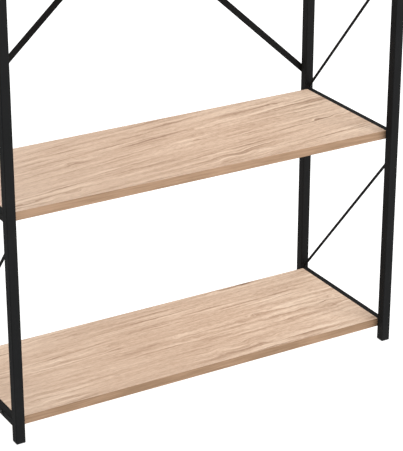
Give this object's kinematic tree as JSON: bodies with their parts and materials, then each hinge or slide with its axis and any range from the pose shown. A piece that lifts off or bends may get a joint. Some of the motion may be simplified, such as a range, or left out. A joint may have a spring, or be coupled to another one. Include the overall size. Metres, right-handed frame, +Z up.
{
  "type": "shelving unit",
  "caption": "Free-standing open shelving unit: pale oak boards bolted between welded black square-tube side frames with thin diagonal rods, and a crossed flat-bar brace behind.",
  "frame": {"origin": "on the floor, under the middle of the whole unit, with the back brace counted in its depth", "axes": "+Z up; +X along the boards, to the right of someone facing the open front; +Y from the front to the braced back"},
  "size_m": [0.9, 0.3524, 1.808],
  "materials": {
    "black_frame": "satin black powder coat",
    "black_plug": "matt moulded black plastic",
    "oak_board": "pale oak surface, matt lacquer, grain along the length",
    "oak_edge": "oak edge band, grain along the length",
    "black_fixing": "blackened steel, satin",
    "zinc_fixing": "bright zinc plate"
  },
  "bodies": {
    "root": {"left_front_post": "black_frame", "left_rear_post": "black_frame", "right_front_post": "black_frame", "right_rear_post": "black_frame", "left_rail_1": "black_frame", "left_rail_2": "black_frame", "left_rail_3": "black_frame", "left_rail_4": "black_frame", "left_rail_5": "black_frame", "right_rail_1": "black_frame", "right_rail_2": "black_frame", "right_rail_3": "black_frame", "right_rail_4": "black_frame", "right_rail_5": "black_frame", "left_rod_1": "black_frame", "left_rod_2": "black_frame", "left_rod_3": "black_frame", "left_rod_4": "black_frame", "right_rod_1": "black_frame", "right_rod_2": "black_frame", "right_rod_3": "black_frame", "right_rod_4": "black_frame", "straight_brace_bar": "black_frame", "joggled_brace_bar": "black_frame", "left_front_foot": "black_plug", "left_front_cap": "black_plug", "left_rear_foot": "black_plug", "left_rear_cap": "black_plug", "right_front_foot": "black_plug", "right_front_cap": "black_plug", "right_rear_foot": "black_plug", "right_rear_cap": "black_plug", "shelf_1": "oak_board", "shelf_2": "oak_board", "shelf_3": "oak_board", "shelf_4": "oak_board", "shelf_5": "oak_board", "shelf_1_edge_bands": "oak_edge", "shelf_2_edge_bands": "oak_edge", "shelf_3_edge_bands": "oak_edge", "shelf_4_edge_bands": "oak_edge", "shelf_5_edge_bands": "oak_edge", "shelf_1_bolts": "black_fixing", "shelf_2_bolts": "black_fixing", "shelf_3_bolts": "black_fixing", "shelf_4_bolts": "black_fixing", "shelf_5_bolts": "black_fixing", "brace_screws": "black_fixing", "brace_centre_bolt": "black_fixing", "brace_centre_nut": "black_fixing", "shelf_1_inserts": "zinc_fixing", "shelf_2_inserts": "zinc_fixing", "shelf_3_inserts": "zinc_fixing", "shelf_4_inserts": "zinc_fixing", "shelf_5_inserts": "zinc_fixing", "brace_rivet_nuts": "zinc_fixing"}
  },
  "joints": []
}
